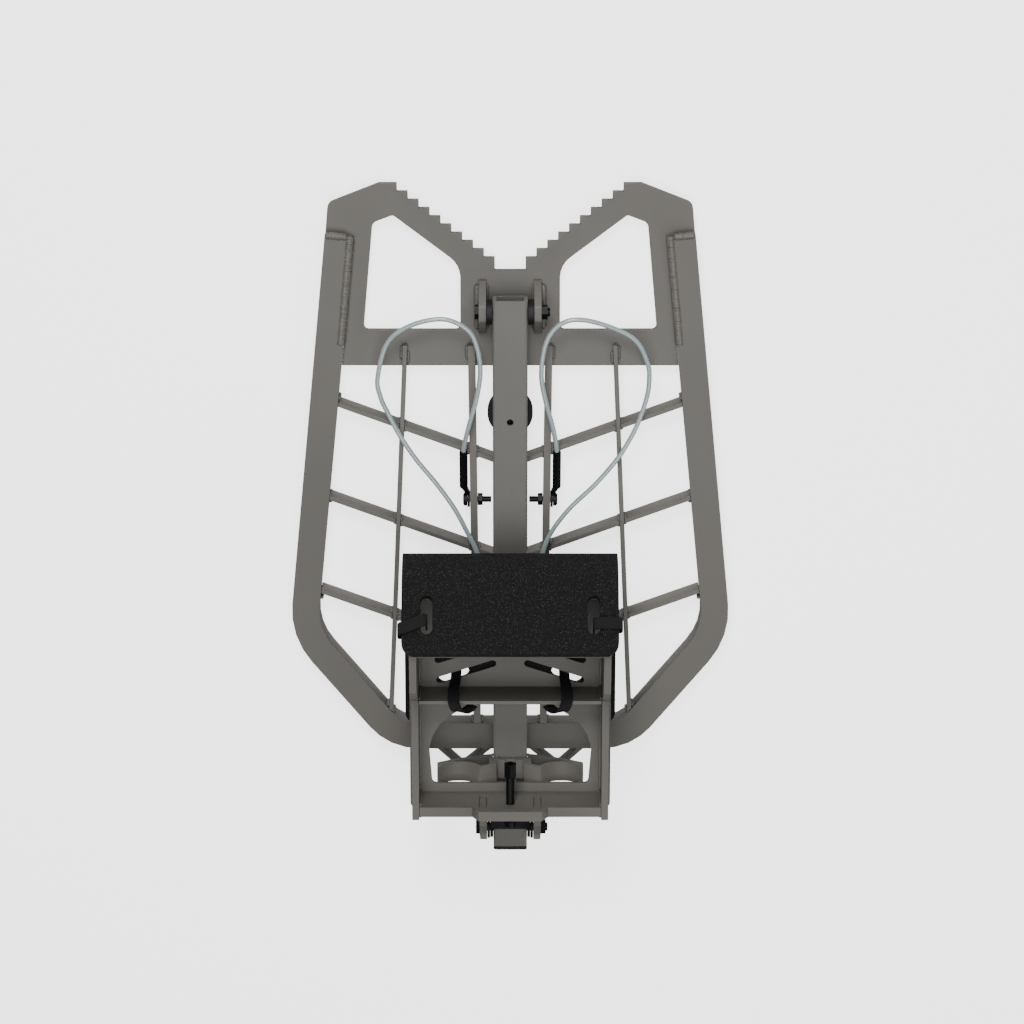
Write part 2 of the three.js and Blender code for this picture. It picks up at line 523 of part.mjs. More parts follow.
// A flat ribbon through stations that each have a position and a direction across the ribbon.
function ribbon(stations, across, width, thick, steps) {
  const middle = new THREE.CatmullRomCurve3(stations.map((p) => new THREE.Vector3(...p)));
  const wide = new THREE.CatmullRomCurve3(across.map((p) => new THREE.Vector3(...p)));
  const corners = [];
  for (let i = 0; i <= steps; i++) {
    const at = middle.getPoint(i / steps);
    const along = middle.getTangent(i / steps);
    const side = wide.getPoint(i / steps);
    side.addScaledVector(along, -side.dot(along)).normalize();
    const up = along.clone().cross(side);
    for (const [w, t] of [[-1, -1], [1, -1], [1, 1], [-1, 1]])
      corners.push(at.clone().addScaledVector(side, (w * width) / 2).addScaledVector(up, (t * thick) / 2));
  }
  const faces = [0, 2, 1, 0, 3, 2];
  for (let i = 0; i < steps; i++)
    for (let k = 0; k < 4; k++) {
      const [a, b] = [4 * i + k, 4 * i + ((k + 1) % 4)];
      faces.push(a, b, b + 4, a, b + 4, a + 4);
    }
  const last = 4 * steps;
  faces.push(last, last + 1, last + 2, last, last + 2, last + 3);
  return new THREE.BufferGeometry().setFromPoints(corners).setIndex(faces);
}
const panTie = ribbon(
  [
    [-60, 204, 36], [-60, 204, 52], [-61, 202.5, 68], [-62.5, 198, 86], [-62, 191, 99], [-58, 184, 102], [-52, 179, 96],
    [-46, 178.5, 87], [-41, 181, 81],
  ],
  [
    [0.948, 0.318, 0], [0.948, 0.318, 0], [0.97, 0.2, 0], [1, 0, 0], [1, 0, 0], [0.95, 0, 0.25], [0.8, 0, 0.6],
    [0.65, -0.2, 0.7], [0.6, -0.2, 0.75],
  ],
  13,
  STRAP_THICK,
  24,
);
addPair(seat, "pan_strap", solid(panTie), "webbing");

export default root;
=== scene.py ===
"""A hang-on tree stand folded flat: ribbed platform, hinged post, stay cables and padded seat."""

import math
import random

import bmesh
import bpy
from mathutils import Matrix, Vector
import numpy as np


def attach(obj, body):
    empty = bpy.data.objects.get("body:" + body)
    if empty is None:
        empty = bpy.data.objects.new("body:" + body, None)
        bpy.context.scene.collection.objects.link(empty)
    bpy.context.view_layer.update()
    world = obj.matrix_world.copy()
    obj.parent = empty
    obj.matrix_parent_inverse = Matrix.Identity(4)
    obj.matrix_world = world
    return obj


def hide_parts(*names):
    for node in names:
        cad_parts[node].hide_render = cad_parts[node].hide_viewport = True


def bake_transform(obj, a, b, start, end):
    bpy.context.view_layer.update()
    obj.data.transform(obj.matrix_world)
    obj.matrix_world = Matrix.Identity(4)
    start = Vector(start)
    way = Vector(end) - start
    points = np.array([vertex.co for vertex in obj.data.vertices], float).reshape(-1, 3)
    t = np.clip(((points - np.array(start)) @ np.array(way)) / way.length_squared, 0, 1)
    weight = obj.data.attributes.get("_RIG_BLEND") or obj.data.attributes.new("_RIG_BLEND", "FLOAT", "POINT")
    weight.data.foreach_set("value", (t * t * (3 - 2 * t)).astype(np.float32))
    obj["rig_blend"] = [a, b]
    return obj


bl_info = {
    "name": "Folding Tree Stand",
    "version": (1, 0, 0),
    "blender": (4, 5, 0),
    "location": "3D View > Sidebar > Tree Stand",
    "description": "Builds a folded tree stand with its paint, welds, cables, pad and straps",
    "category": "Add Mesh",
}

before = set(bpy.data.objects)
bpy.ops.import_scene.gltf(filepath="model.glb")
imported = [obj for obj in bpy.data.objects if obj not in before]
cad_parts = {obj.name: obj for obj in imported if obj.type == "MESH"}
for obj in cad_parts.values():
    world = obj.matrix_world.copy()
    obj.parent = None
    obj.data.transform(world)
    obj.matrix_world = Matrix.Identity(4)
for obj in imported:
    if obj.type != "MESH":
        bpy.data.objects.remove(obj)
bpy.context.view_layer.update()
MM = 0.001

# points and lengths of the stand, in millimetres
BEAM_TOP_END = (-185.8, 325.9)
SIDE_BEND = (-232.0, -130.5)
TUBE_HALF = 15.4
RIB_SLOPE = 0.374
RIB_APEXES = (66.0, -46.4, -160.4)
OUTER_BAR = ((-115.0, 204.1), (-135.3, -240.0), 2.5)
INNER_BAR = ((-42.4, 204.1), (-37.3, -250.0), 4.0)
SEAT_PIVOT = Vector((0, -361.2, 39.4))
APRON_PIVOT = SEAT_PIVOT + Vector((0, 299.6, 92.2))
APRON_TURN = math.radians(-34)

# how hard edges are found and eased
WELD_DISTANCE = 2e-6
FLAT_ANGLE = math.radians(0.4)
SHARP_ANGLE = math.radians(32)


# ---------------------------------------------------------------- shader expressions
class Signal:
    """A number that varies over a surface. Arithmetic on it adds Math nodes."""

    def __init__(self, finish, socket):
        self.finish = finish
        self.socket = socket

    def _math(self, operation, *values):
        return self.finish.node("ShaderNodeMath", {"operation": operation}, *values)

    def __add__(self, other):
        return self._math("ADD", self, other)

    def __mul__(self, other):
        return self._math("MULTIPLY", self, other)

    def __radd__(self, other):
        return self._math("ADD", other, self)

    def __rmul__(self, other):
        return self._math("MULTIPLY", other, self)

    def sine(self):
        return self._math("SINE", self)

    def size(self):
        return self._math("ABSOLUTE", self)


class Finish:
    """A material under construction, with its Principled shader ready."""

    def __init__(self, name, roughness, metallic=0.0, **constants):
        self.material = bpy.data.materials.new(name)
        self.material.use_nodes = True
        self.tree = self.material.node_tree
        self.shader = self.tree.nodes["Principled BSDF"]
        self.shader.inputs["Roughness"].default_value = roughness
        self.shader.inputs["Metallic"].default_value = metallic
        for socket, value in constants.items():
            self.shader.inputs[socket.replace("_", " ")].default_value = value

    def node(self, kind, settings=None, *values, out=0, **named):
        """Adds one node, sets it up, feeds its sockets and returns one output."""
        made = self.tree.nodes.new(kind)
        for setting, value in (settings or {}).items():
            setattr(made, setting, value)
        for socket, value in [*enumerate(values), *named.items()]:
            key = socket.replace("_", " ") if isinstance(socket, str) else socket
            self.feed(made.inputs[key], value)
        return Signal(self, made.outputs[out])

    def feed(self, socket, value):
        if isinstance(value, Signal):
            self.tree.links.new(value.socket, socket)
        else:
            socket.default_value = value

    def place(self):
        return self.node("ShaderNodeTexCoord", None, out="Object")

    def noise(self, scale, detail=2.0, roughness=0.5, at=None):
        return self.node(
            "ShaderNodeTexNoise", {"noise_dimensions": "3D"}, Vector=at or self.place(),
            Scale=scale, Detail=detail, Roughness=roughness, out="Fac",
        )

    def blend(self, share, low, high):
        """A colour between two colours."""
        mix = self.tree.nodes.new("ShaderNodeMix")
        mix.data_type = "RGBA"
        self.feed(mix.inputs[0], share)
        self.feed(mix.inputs[6], low)
        self.feed(mix.inputs[7], high)
        return Signal(self, mix.outputs[2])

    def spread(self, share, low, high, to_low=0.0, to_high=1.0):
        return self.node("ShaderNodeMapRange", None, share, low, high, to_low, to_high)

    def axis(self, name, at=None):
        parts = self.tree.nodes.new("ShaderNodeSeparateXYZ")
        self.feed(parts.inputs[0], at or self.place())
        return Signal(self, parts.outputs[name])

    def surface(self, colour=None, roughness=None, height=None, depth=0.0002, strength=1.0):
        if colour is not None:
            self.feed(self.shader.inputs["Base Color"], colour)
        if roughness is not None:
            self.feed(self.shader.inputs["Roughness"], roughness)
        if height is not None:
            bump = self.node("ShaderNodeBump", None, Strength=strength, Distance=depth, Height=height)
            self.feed(self.shader.inputs["Normal"], bump)
        return self.material


def shade(colour, factor):
    return tuple(c * factor for c in colour[:3]) + (1.0,)


def powder_coat(name, colour):
    """Satin powder coat: fine orange peel, faint clouds and slightly paler edges, which are a painted
    highlight.
    """
    paint = Finish(name, 0.5, 0.0, Specular_IOR_Level=0.45)
    clouds = paint.noise(9, 4, 0.6)
    grain = paint.noise(1500, 2, 0.6)
    # Pointiness makes the convex edges paler: a painted highlight along the edges.
    edges = paint.node("ShaderNodeNewGeometry", None, out="Pointiness")
    painted_edge_highlight = paint.spread(edges, 0.51, 0.56)
    tone = paint.blend(paint.spread(clouds, 0.3, 0.7), shade(colour, 0.93), shade(colour, 1.06))
    fleck = paint.blend(paint.spread(grain, 0.35, 0.65) * 0.35, tone, shade(colour, 1.16))
    painted = paint.blend(painted_edge_highlight * 0.5, fleck, shade(colour, 1.5))
    rough = 0.46 + 0.14 * paint.spread(clouds, 0.3, 0.7)
    return paint.surface(painted, rough, grain, 0.00008, 0.6)


def weld_coat(name, colour):
    """The same paint over weld beads, painted lighter as a painted highlight, with tiny ripples and specks
    of spatter.
    """
    paint = Finish(name, 0.42, 0.0, Specular_IOR_Level=0.55)
    lumps = paint.noise(600, 3, 0.6)
    # The beads are painted 12 to 40 percent lighter than the paint around them: a painted highlight, varied
    # by the lumps.
    tone = paint.blend(paint.spread(lumps, 0.3, 0.7), shade(colour, 1.12), shade(colour, 1.4))
    return paint.surface(tone, 0.4 + 0.15 * lumps, lumps, 0.00016, 0.6)


def black_oxide(name, colour):
    """Blackened steel with a little bare metal showing through."""
    steel = Finish(name, 0.3, 0.2, Specular_IOR_Level=0.22)
    wear = steel.noise(260, 4, 0.65)
    bare = steel.spread(wear, 0.62, 0.75)
    tone = steel.blend(bare * 0.35, colour, shade(colour, 4.0))
    return steel.surface(tone, 0.3 + 0.25 * wear, wear, 0.00004, 0.5)


def moulded(name, colour, grain_scale=2200.0, roughness=0.55):
    """Moulded plastic or rubber with a fine stipple."""
    skin = Finish(name, roughness, 0.0, Specular_IOR_Level=0.3)
    stipple = skin.noise(grain_scale, 1, 0.5)
    dust = skin.noise(45, 4, 0.6)
    tone = skin.blend(skin.spread(dust, 0.45, 0.8) * 0.5, colour, shade(colour, 2.2))
    return skin.surface(tone, roughness - 0.08 + 0.16 * dust, stipple, 0.0001, 0.6)


def speckled_foam(name, colour, speck):
    """Closed-cell foam skin: pitted, with painted shade in the pits and paler flecks scattered through it.
    """
    foam = Finish(name, 0.9, 0.0, Specular_IOR_Level=0.16)
    pits = foam.noise(620, 3, 0.7)
    cells = foam.node("ShaderNodeTexVoronoi", None, Vector=foam.place(), Scale=780.0, out="Distance")
    hue = foam.node("ShaderNodeTexVoronoi", None, Vector=foam.place(), Scale=780.0, out="Color")
    red = foam.node("ShaderNodeSeparateColor", None, hue)
    fleck = foam.spread(cells, 0.36, 0.2) * foam.spread(red, 0.55, 0.95)
    # The colour darkens where the bump sinks: painted shade in the pits.
    base = foam.blend(foam.spread(pits, 0.38, 0.66), shade(colour, 0.55), shade(colour, 1.35))
    tone = foam.blend(fleck, base, speck)
    return foam.surface(tone, 0.86 + 0.1 * pits, pits + 0.4 * fleck, 0.0005, 0.9)


def woven(name, colour, along, across):
    """Flat nylon webbing: ribs along its length crossed by a tight weft, with painted shade in the hollows
    of the weave.
    """
    cloth = Finish(name, 0.85, 0.0, Specular_IOR_Level=0.25)
    at = cloth.node("ShaderNodeUVMap", {"uv_map": "strap"})
    ribs = (cloth.axis("X", at) * across).sine().size()
    weft = (cloth.axis("Y", at) * along).sine().size()
    fuzz = cloth.noise(1800, 2, 0.6)
    height = ribs * 0.6 + weft * 0.4 + fuzz * 0.2
    # The colour follows the weave's relief: painted shade in the hollows and a painted highlight on the
    # raised threads.
    tone = cloth.blend(height, shade(colour, 0.5), shade(colour, 1.7))
    return cloth.surface(tone, 0.78 + 0.15 * fuzz, height, 0.0003, 0.8)


def coated_strand(name, colour, strand_shade_and_scuff):
    """Stranded steel seen through a clear vinyl coat, with painted shade along the grooves between strands.
    """
    coat = Finish(name, 0.3, 0.15, Coat_Weight=0.5, Coat_Roughness=0.15)
    at = coat.node("ShaderNodeUVMap", {"uv_map": "strap"})
    # The twist lines darken the grooves between strands, which is painted shade; the scuff noise darkens at
    # random, which is wear.
    twist = (coat.axis("X", at) * 37.7 + coat.axis("Y", at) * 2400.0).sine() * 0.5 + 0.5
    scuff = coat.noise(120, 4, 0.6)
    tone = coat.blend(twist * 0.14 + scuff * 0.2, colour, strand_shade_and_scuff)
    return coat.surface(tone, 0.2 + 0.2 * scuff, scuff, 0.00008, 0.3)


# ---------------------------------------------------------------- meshes
def put(name, mesh, material):
    piece = bpy.data.objects.new(name, mesh)
    bpy.context.collection.objects.link(piece)
    mesh.materials.clear()
    mesh.materials.append(material)
    return piece


def settle(piece):
    """Turns the piece's modifiers into its mesh."""
    bpy.context.view_layer.update()
    graph = bpy.context.evaluated_depsgraph_get()
    final = bpy.data.meshes.new_from_object(piece.evaluated_get(graph))
    piece.modifiers.clear()
    piece.data = final
    return piece


def softened(node, material, width, segments=2):
    """The CAD piece with its hard edges eased, standing in for it."""
    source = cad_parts[node]
    mesh = source.data.copy()
    cleaner = bmesh.new()
    cleaner.from_mesh(mesh)
    bmesh.ops.remove_doubles(cleaner, verts=cleaner.verts, dist=WELD_DISTANCE)
    bmesh.ops.dissolve_limit(cleaner, angle_limit=FLAT_ANGLE, verts=cleaner.verts, edges=cleaner.edges)
    cleaner.to_mesh(mesh)
    cleaner.free()
    for layer in list(mesh.attributes):
        if layer.name in ("custom_normal", "sharp_face", "sharp_edge"):
            mesh.attributes.remove(layer)
    piece = put(f"{node}_finished", mesh, material)
    mesh.shade_smooth()
    edge = piece.modifiers.new("eased", "BEVEL")
    edge.width = width * MM
    edge.segments = segments
    edge.limit_method = "ANGLE"
    edge.angle_limit = SHARP_ANGLE
    edge.use_clamp_overlap = True
    edge.harden_normals = True
    settle(piece)
    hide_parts(node)
    return piece


def sweep(name, rings, material, lengths=None):
    """A skin over rings of points, with a strap UV that runs round and along in metres."""
    count = len(rings[0])
    corners = [p for ring in rings for p in ring]
    faces = []
    for i in range(len(rings) - 1):
        for k in range(count):
            a, b = i * count + k, i * count + (k + 1) % count
            faces.append((a, b, b + count, a + count))
    faces.append(tuple(reversed(range(count))))
    faces.append(tuple(range(len(corners) - count, len(corners))))
    mesh = bpy.data.meshes.new(name)
    mesh.from_pydata([tuple(p) for p in corners], [], faces)
    layer = mesh.uv_layers.new(name="strap")
    run = lengths or [i / max(1, len(rings) - 1) for i in range(len(rings))]
    for face in mesh.polygons:
        closes = any(corner % count == count - 1 for corner in face.vertices)
        for loop, corner in zip(face.loop_indices, face.vertices):
            ring, k = divmod(corner, count)
            around = 1.0 if k == 0 and closes else k / count
            layer.data[loop].uv = (around, run[ring])
    mesh.validate()
    mesh.update()
    mesh.shade_smooth()
    return put(name, mesh, material)


def smooth_line(points, per_step):
    """Points along a smooth line through the given ones."""
    line = []
    last = len(points) - 1
    for i in range(last):
        a, b, c, d = (Vector(points[j]) for j in (max(i - 1, 0), i, i + 1, min(i + 2, last)))
        for k in range(per_step):
            t = k / per_step
            square, cube = 2 * a - 5 * b + 4 * c - d, 3 * b - a - 3 * c + d
            line.append(0.5 * (2 * b + (c - a) * t + square * t**2 + cube * t**3))
    line.append(Vector(points[last]))
    return line


def distances(line):
    run = [0.0]
    for a, b in zip(line, line[1:]):
        run.append(run[-1] + (b - a).length)
    return run


def tube_rings(line, radius, sides):
    """Rings round a line that don't twist, for a radius or one radius for each point."""
    rings = []
    across = None
    for i, here in enumerate(line):
        along = (line[min(i + 1, len(line) - 1)] - line[max(i - 1, 0)]).normalized()
        if across is None:
            across = along.orthogonal().normalized()
        across = (across - along * across.dot(along)).normalized()
        up = along.cross(across)
        wide = radius[i] if isinstance(radius, list) else radius
        turns = [2 * math.pi * k / sides for k in range(sides)]
        rings.append([here + across * (wide * math.cos(t)) + up * (wide * math.sin(t)) for t in turns])
    return rings


# ---------------------------------------------------------------- welds
def bead_rings(start, end, radius, dice):
    """One run of weld between two points, with the ripples of each dab."""
    a, b = Vector(start) * MM, Vector(end) * MM
    length = (b - a).length
    steps = max(6, int(length / (0.8 * MM)))
    line = []
    sizes = []
    for i in range(steps + 1):
        t = i / steps
        jog = Vector((dice.uniform(-1, 1), dice.uniform(-1, 1), dice.uniform(-1, 1))) * (0.12 * MM)
        line.append(a.lerp(b, t) + jog)
        ripple = 1 + 0.09 * math.cos(i * 2 * math.pi / 3.2) + dice.uniform(-0.05, 0.05)
        taper = min(1.0, 0.35 + min(t, 1 - t) * steps * 0.3)
        sizes.append(radius * MM * ripple * taper)
    return tube_rings(line, sizes, 8)


def welds(name, runs, material, body, seed):
    """All the weld beads of one body as one piece."""
    dice = random.Random(seed)
    whole = bmesh.new()
    for start, end, radius in runs:
        rings = bead_rings(start, end, radius, dice)
        grid = [[whole.verts.new(p) for p in ring] for ring in rings]
        for low, high in zip(grid, grid[1:]):
            for k in range(8):
                whole.faces.new((low[k], low[(k + 1) % 8], high[(k + 1) % 8], high[k]))
        whole.faces.new(list(reversed(grid[0])))
        whole.faces.new(grid[-1])
    mesh = bpy.data.meshes.new(name)
    whole.to_mesh(mesh)
    whole.free()
    mesh.shade_smooth()
    piece = put(name, mesh, material)
    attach(piece, body)
    return piece


def both(runs):
    """The same runs on the left and the right."""
    flip = [((-a[0], a[1], a[2]), (-b[0], b[1], b[2]), r) for a, b, r in runs]
    return runs + flip


def bar_x(bar, y):
    (x0, y0), (x1, y1), _ = bar
    return x0 + (x1 - x0) * (y - y0) / (y1 - y0)


def crossing(bar, apex):
    """Where a left bar's middle crosses a rib's middle."""
    y = apex
    for _ in range(8):
        y = apex - RIB_SLOPE * bar_x(bar, y)
    return bar_x(bar, y), y


def beam_inner(y):
    slope = (BEAM_TOP_END[0] - SIDE_BEND[0]) / (BEAM_TOP_END[1] - SIDE_BEND[1])
    return SIDE_BEND[0] + slope * (y - SIDE_BEND[1]) + TUBE_HALF + 0.1


def platform_runs():
    runs = []
    for apex in RIB_APEXES:
        for bar in (OUTER_BAR, INNER_BAR):
            x, y = crossing(bar, apex)
            half = bar[2] + 1.0
            for sx in (-1, 1):
                for sy in (-1, 1):
                    spot = (x + sx * half, y + sy * 3.4 - sx * half * RIB_SLOPE)
                    runs.append(((*spot, 4), (*spot, 23.2), 1.7))
        y = apex + RIB_SLOPE * 200
        x = beam_inner(y) + 1.2
        for sy in (-3.6, 3.6):
            runs.append(((x, y + sy - 1, 3), (x, y + sy - 1, 22.8), 1.9))
    for bar in (OUTER_BAR, INNER_BAR):
        for side in (-1, 1):
            near = side * (bar[2] + 1.2)
            low, high = (196, 182) if side > 0 else (202, 187)
            runs.append(((bar_x(bar, low) + near, low, 16.6), (bar_x(bar, high) + near, high, 16.6), 2.0))
    foot = bar_x(INNER_BAR, -239)
    for near in (-5.2, 5.2):
        runs.append(((foot + near, -239, 3), (foot + near, -239, 22.6), 1.9))
    foot = bar_x(OUTER_BAR, -222)
    runs.append(((foot - 3.4, -219.5, 3), (foot - 3.4, -219.5, 22.6), 1.9))
    runs.append(((foot + 3.0, -226.8, 3), (foot + 3.0, -226.8, 22.6), 1.9))
    runs.append(((-200.6, 328.4, 23.4), (-176.6, 326.2, 23.4), 4.3))
    runs.append(((beam_inner(327) - 3.6, 327.4, 22.2), (beam_inner(203) - 3.2, 203, 22.2), 4.9))
    runs.append(((-36.2, 221.5, 17.2), (-36.2, 271.5, 17.2), 3.3))
    runs.append(((-24.9, 221.5, 16.2), (-24.9, 271.5, 16.2), 1.6))
    runs.append(((-83.5, -272.2, 4.5), (-83.5, -272.2, 21), 1.8))
    runs.append(((-20.5, -272.2, 4.5), (-20.5, -272.2, 21), 1.8))
    return both(runs)


def seat_runs():
    base = SEAT_PIVOT
    floor = 49.6

    def at(x, y, z):
        return (x, base.y + y, base.z + z)

    runs = [
        (at(-100.2, 66, floor + 0.6), at(-100.2, 184, floor + 0.6), 1.6),
        (at(-100.2, 192, floor + 0.6), at(-100.2, 296, floor + 0.6), 1.6),
        (at(-99.6, 191.6, 52), at(-99.6, 191.6, 90), 1.5),
        (at(-99.8, 65.3, 52), at(-99.8, 65.3, 92), 1.7),
        (at(-99.8, 51.6, 52), at(-99.8, 51.6, 92), 1.7),
        (at(-25.4, 51.8, 64), at(-25.4, 51.8, 90), 1.5),
        (at(-35.0, 51.8, 64), at(-35.0, 51.8, 90), 1.5),
    ]
    return both(runs)


def post_runs():
    return both([
        ((-20.1, -269.6, 43.6), (-20.1, -269.6, 51.4), 1.4),
        ((-17.8, -269.4, 52.6), (-12.2, -269.4, 52.9), 1.2),
    ])


# ---------------------------------------------------------------- screws
def thread(name, axis, at, radius, start, end, material, body):
    """Screw thread on a shank: a row of sharp crests that climb round it."""
    pitch, depth, sides = 1.4, 0.28, 20
    steps = int((end - start) / pitch * 2)
    rings = []
    for i in range(steps + 1):
        ring = []
        for k in range(sides):
            turn = 2 * math.pi * k / sides
            phase = (i + 2 * k / sides) % 2
            height = radius + depth * (1 - abs(phase - 1)) * (0 < i < steps)
            run = start + i * (end - start) / steps
            flat = (math.cos(turn) * height, math.sin(turn) * height)
            if axis == "X":
                ring.append(Vector((run, at[0] + flat[0], at[1] + flat[1])) * MM)
            else:
                ring.append(Vector((at[0] + flat[1], run, at[1] + flat[0])) * MM)
        rings.append(ring)
    piece = sweep(name, rings, material)
    piece.data.shade_flat()
    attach(piece, body)
    return piece


# ---------------------------------------------------------------- straps
STRAP_SECTION = (
    (-1, 0), (-0.96, -0.75), (-0.85, -1), (-0.4, -1), (0.1, -1), (0.5, -1), (0.85, -1), (0.96, -0.75),
    (1, 0), (0.96, 0.75), (0.85, 1), (0.5, 1), (0.1, 1), (-0.4, 1), (-0.85, 1), (-0.96, 0.75),
)


def ribbon(name, line, sides, width, thick, material):
    """Webbing with rounded selvedges along a line, lying in the given directions across."""
    rings = []
    for i, here in enumerate(line):
        along = (line[min(i + 1, len(line) - 1)] - line[max(i - 1, 0)]).normalized()
        side = (sides[i] - along * sides[i].dot(along)).normalized()
        up = along.cross(side)
        ring = []
        for w, t in STRAP_SECTION:
            ring.append(here + side * (w * width / 2) + up * (t * thick / 2))
        rings.append(ring)
    return sweep(name, rings, material, lengths=distances(line))


def apron_point(x, y, z):
    turned = Matrix.Rotation(APRON_TURN, 3, "X") @ Vector((x, y, z))
    return (turned + APRON_PIVOT) * MM


def finish_strap(piece, node):
    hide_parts(node)
    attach(piece, "seat")


# ---------------------------------------------------------------- user settings
class StandColours(bpy.types.PropertyGroup):
    """Colours of the stand's finishes."""

    paint: bpy.props.FloatVectorProperty(
        name="Paint", description="Powder coat of the metal parts", subtype="COLOR", size=4,
        default=(0.1, 0.0945, 0.0845, 1.0), min=0, max=1,
    )
    post: bpy.props.FloatVectorProperty(
        name="Post paint", description="Powder coat of the post", subtype="COLOR", size=4,
        default=(0.103, 0.0995, 0.092, 1.0), min=0, max=1,
    )
    hardware: bpy.props.FloatVectorProperty(
        name="Hardware", description="Blackened bolts and cable ends", subtype="COLOR", size=4,
        default=(0.0045, 0.0045, 0.005, 1.0), min=0, max=1,
    )
    foam: bpy.props.FloatVectorProperty(
        name="Seat foam", description="Colour of the seat pad", subtype="COLOR", size=4,
        default=(0.009, 0.009, 0.0095, 1.0), min=0, max=1,
    )
    cable: bpy.props.FloatVectorProperty(
        name="Cable", description="Coated stay cables", subtype="COLOR", size=4,
        default=(0.42, 0.5, 0.51, 1.0), min=0, max=1,
    )


class StandSizes(bpy.types.PropertyGroup):
    """Small sizes that the finish depends on."""

    edge: bpy.props.FloatProperty(
        name="Edge easing", description="Width of the eased edges of metal parts", default=0.0007,
        min=0, max=0.002, subtype="DISTANCE", unit="LENGTH",
    )
    cable: bpy.props.FloatProperty(
        name="Cable diameter", description="Outside diameter of the stay cables", default=0.0053,
        min=0.003, max=0.008, subtype="DISTANCE", unit="LENGTH",
    )
    strap: bpy.props.FloatProperty(
        name="Strap width", description="Width of the seat's webbing ties", default=0.0135,
        min=0.008, max=0.02, subtype="DISTANCE", unit="LENGTH",
    )


# ---------------------------------------------------------------- operators
class STAND_OT_camera(bpy.types.Operator):
    """Places the camera above the folded stand."""

    bl_idname = "stand.camera"
    bl_label = "Camera"

    def execute(self, context):
        tilt, distance, reach = math.radians(18.8), 4.107, 3700 / 1024
        lens = bpy.data.cameras.new("camera")
        lens.sensor_width = 36
        lens.lens = lens.sensor_width * reach
        lens.clip_end = 50
        camera = bpy.data.objects.new("camera", lens)
        context.collection.objects.link(camera)
        aim = Vector((0.002, 0.0124, 0.0254))
        camera.location = aim + Vector((0, math.sin(tilt), math.cos(tilt))) * distance
        camera.rotation_euler = (-tilt, 0, 0)
        context.scene.camera = camera
        return {"FINISHED"}


class STAND_OT_cables(bpy.types.Operator):
    """Makes the two coated stay cables, from their lower ends to the post."""

    bl_idname = "stand.cables"
    bl_label = "Stay cables"

    ROUTES = {
        "left": (
            (-51.5, 85.1, 32.4), (-49.6, 98, 35.8), (-45, 118, 39), (-37, 148, 42), (-32.6, 180, 44),
            (-36, 208, 45), (-46.5, 228, 45), (-73, 240, 45), (-109, 232, 43), (-134, 211, 40),
            (-145, 171, 37), (-142, 149, 36),
            (-135, 132, 35), (-121, 104, 35), (-103, 76, 35), (-81, 48, 35), (-62, 20, 35), (-48, -7, 36),
            (-37, -31, 38), (-29.5, -62, 39.2), (-26.5, -88, 39.4), (-26.1, -107.6, 39.4),
        ),
        "right": (
            (51.5, 85.1, 32.4), (50, 98, 35.8), (46, 118, 39), (38.4, 148, 42), (34, 178, 44), (39, 213, 45),
            (53, 233, 45), (74, 239.5, 45), (105, 232, 43), (136, 215, 40), (150, 188, 38), (152, 167, 37),
            (149, 146, 36), (140, 118, 35), (130, 97, 35), (117, 76, 35), (94, 48, 35), (66, 20, 35),
            (46, -7, 36), (36, -31, 38), (29.3, -62, 39.2), (26.5, -88, 39.4), (26.1, -107.6, 39.4),
        ),
    }

    # where each loop's top changes from the platform to the post: a heading and two distances along it
    TURNS = {"left": ((-1, -0.3, 0.75), 0.0325, 0.0364), "right": ((1, -0.25, 0.75), 0.0356, 0.0401)}

    def execute(self, context):
        sizes = context.scene.stand_sizes
        colour = tuple(context.scene.stand_colours.cable)
        coat = coated_strand("coated_cable_finish", colour, shade(colour, 0.3))
        for side, route in self.ROUTES.items():
            line = [p * MM for p in smooth_line(route, 14)]
            name = f"stay_cable_{side}"
            rings = tube_rings(line, sizes.cable / 2, 14)
            cable = sweep(f"{name}_strand", rings, coat, lengths=distances(line))
            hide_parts(name)
            heading, first, last = self.TURNS[side]
            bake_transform(cable, "platform", "post", Vector(heading) * first, Vector(heading) * last)
            distances(line)[-1]
        return {"FINISHED"}


class STAND_OT_stage(bpy.types.Operator):
    """Lays the pale floor and sets the soft studio lights."""

    bl_idname = "stand.stage"
    bl_label = "Stage"

    def execute(self, context):
        floor_finish = Finish("floor_finish", 0.9)
        mottle = floor_finish.noise(3, 2, 0.5)
        pale = floor_finish.blend(mottle, (0.93, 0.93, 0.93, 1), (0.95, 0.95, 0.95, 1))
        floor_finish.surface(pale)
        floor_finish.shader.inputs["Emission Color"].default_value = (1, 1, 1, 1)
        floor_finish.shader.inputs["Emission Strength"].default_value = 2.2
        mesh = bpy.data.meshes.new("floor")
        reach = 12
        corners = [(-reach, -reach, 0), (reach, -reach, 0), (reach, reach, 0), (-reach, reach, 0)]
        mesh.from_pydata(corners, [], [(0, 1, 2, 3)])
        floor = put("floor", mesh, floor_finish.material)
        floor.location.z = -0.0008
        floor.visible_glossy = False
        world = bpy.data.worlds.new("studio")
        world.use_nodes = True
        world.node_tree.nodes["Background"].inputs["Color"].default_value = (1, 0.99, 0.98, 1)
        world.node_tree.nodes["Background"].inputs["Strength"].default_value = 0.1
        context.scene.world = world
        for name, place, size, power in (
            ("key", (-0.4, 2.9, 3.2), 1.4, 112),
            ("top", (0.0, 0.0, 2.6), 2.2, 44),
            ("rim", (1.8, -1.4, 2.0), 1.4, 14),
        ):
            light = bpy.data.lights.new(name, "AREA")
            light.shape = "DISK"
            light.size = size
            light.energy = power
            lamp = bpy.data.objects.new(name, light)
            context.collection.objects.link(lamp)
            lamp.location = place
            lamp.rotation_mode = "QUATERNION"
            lamp.rotation_quaternion = (-Vector(place)).to_track_quat("-Z", "Y")
        return {"FINISHED"}


